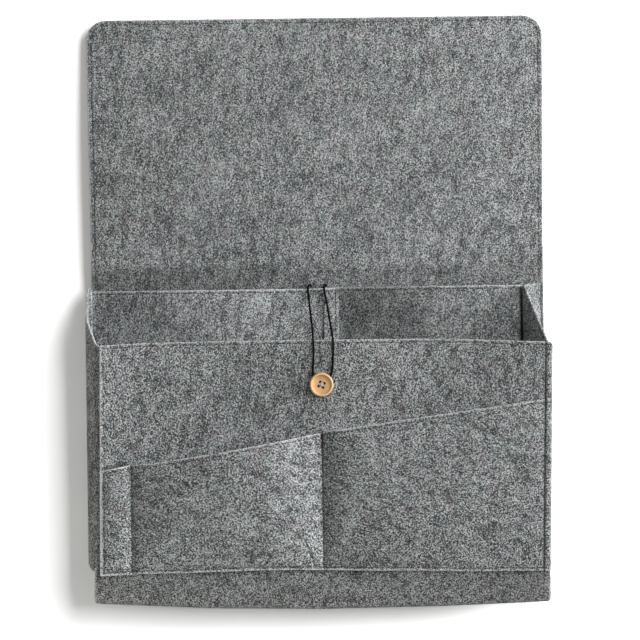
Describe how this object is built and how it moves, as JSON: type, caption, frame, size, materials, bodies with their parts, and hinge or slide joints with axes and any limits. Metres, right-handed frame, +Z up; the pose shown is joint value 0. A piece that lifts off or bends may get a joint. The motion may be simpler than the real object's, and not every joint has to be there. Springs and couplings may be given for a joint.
{
  "type": "felt sofa organizer",
  "caption": "Felt organizer with a tuck-in flap, a gusseted open-top box, stitched front pockets and an elastic loop that closes on a wooden button.",
  "frame": {"origin": "centre of the back panel's rear face", "axes": "+X to the right seen from the front, +Y out of the rear face, +Z up along the back panel towards the flap"},
  "size_m": [0.3918, 0.0627, 0.497],
  "materials": {
    "felt": "mottled grey pressed felt",
    "wood": "light turned wood, satin",
    "thread": "pale cotton thread",
    "elastic": "black braided elastic cord"
  },
  "bodies": {
    "back": {"back_panel": "felt", "pocket_back": "felt", "left_gusset": "felt", "right_gusset": "felt", "bottom_gusset": "felt", "center_divider": "felt"},
    "flap": {"flap": "felt"},
    "front": {"front_panel": "felt", "front_pocket_sheet": "felt"},
    "button": {"wooden_button": "wood", "button_thread": "thread"},
    "loop": {"elastic_loop": "elastic"}
  },
  "joints": [
    {"name": "flap_fold", "type": "hinge", "parent": "back", "child": "flap", "pos_m": [0, -0.001, 0.1325], "axis": [-1, 0, 0], "range_deg": [-120, 120]},
    {"name": "front_squeeze", "type": "slide", "parent": "back", "child": "front", "axis": [0, 1, 0], "range_m": [0, 0.03], "deforming": ["left_gusset", "right_gusset", "bottom_gusset", "center_divider", "elastic_loop"]},
    {"name": "button_turn", "type": "hinge", "parent": "front", "child": "button", "pos_m": [0.0025, -0.0525, 0.0255], "axis": [0, 1, 0], "range_deg": [-15, 15]},
    {"name": "loop_swing", "type": "hinge", "parent": "back", "child": "loop", "pos_m": [0, -0.0034, 0.1079], "axis": [-1, 0, 0], "range_deg": [0, 125], "deforming": ["elastic_loop"]}
  ]
}
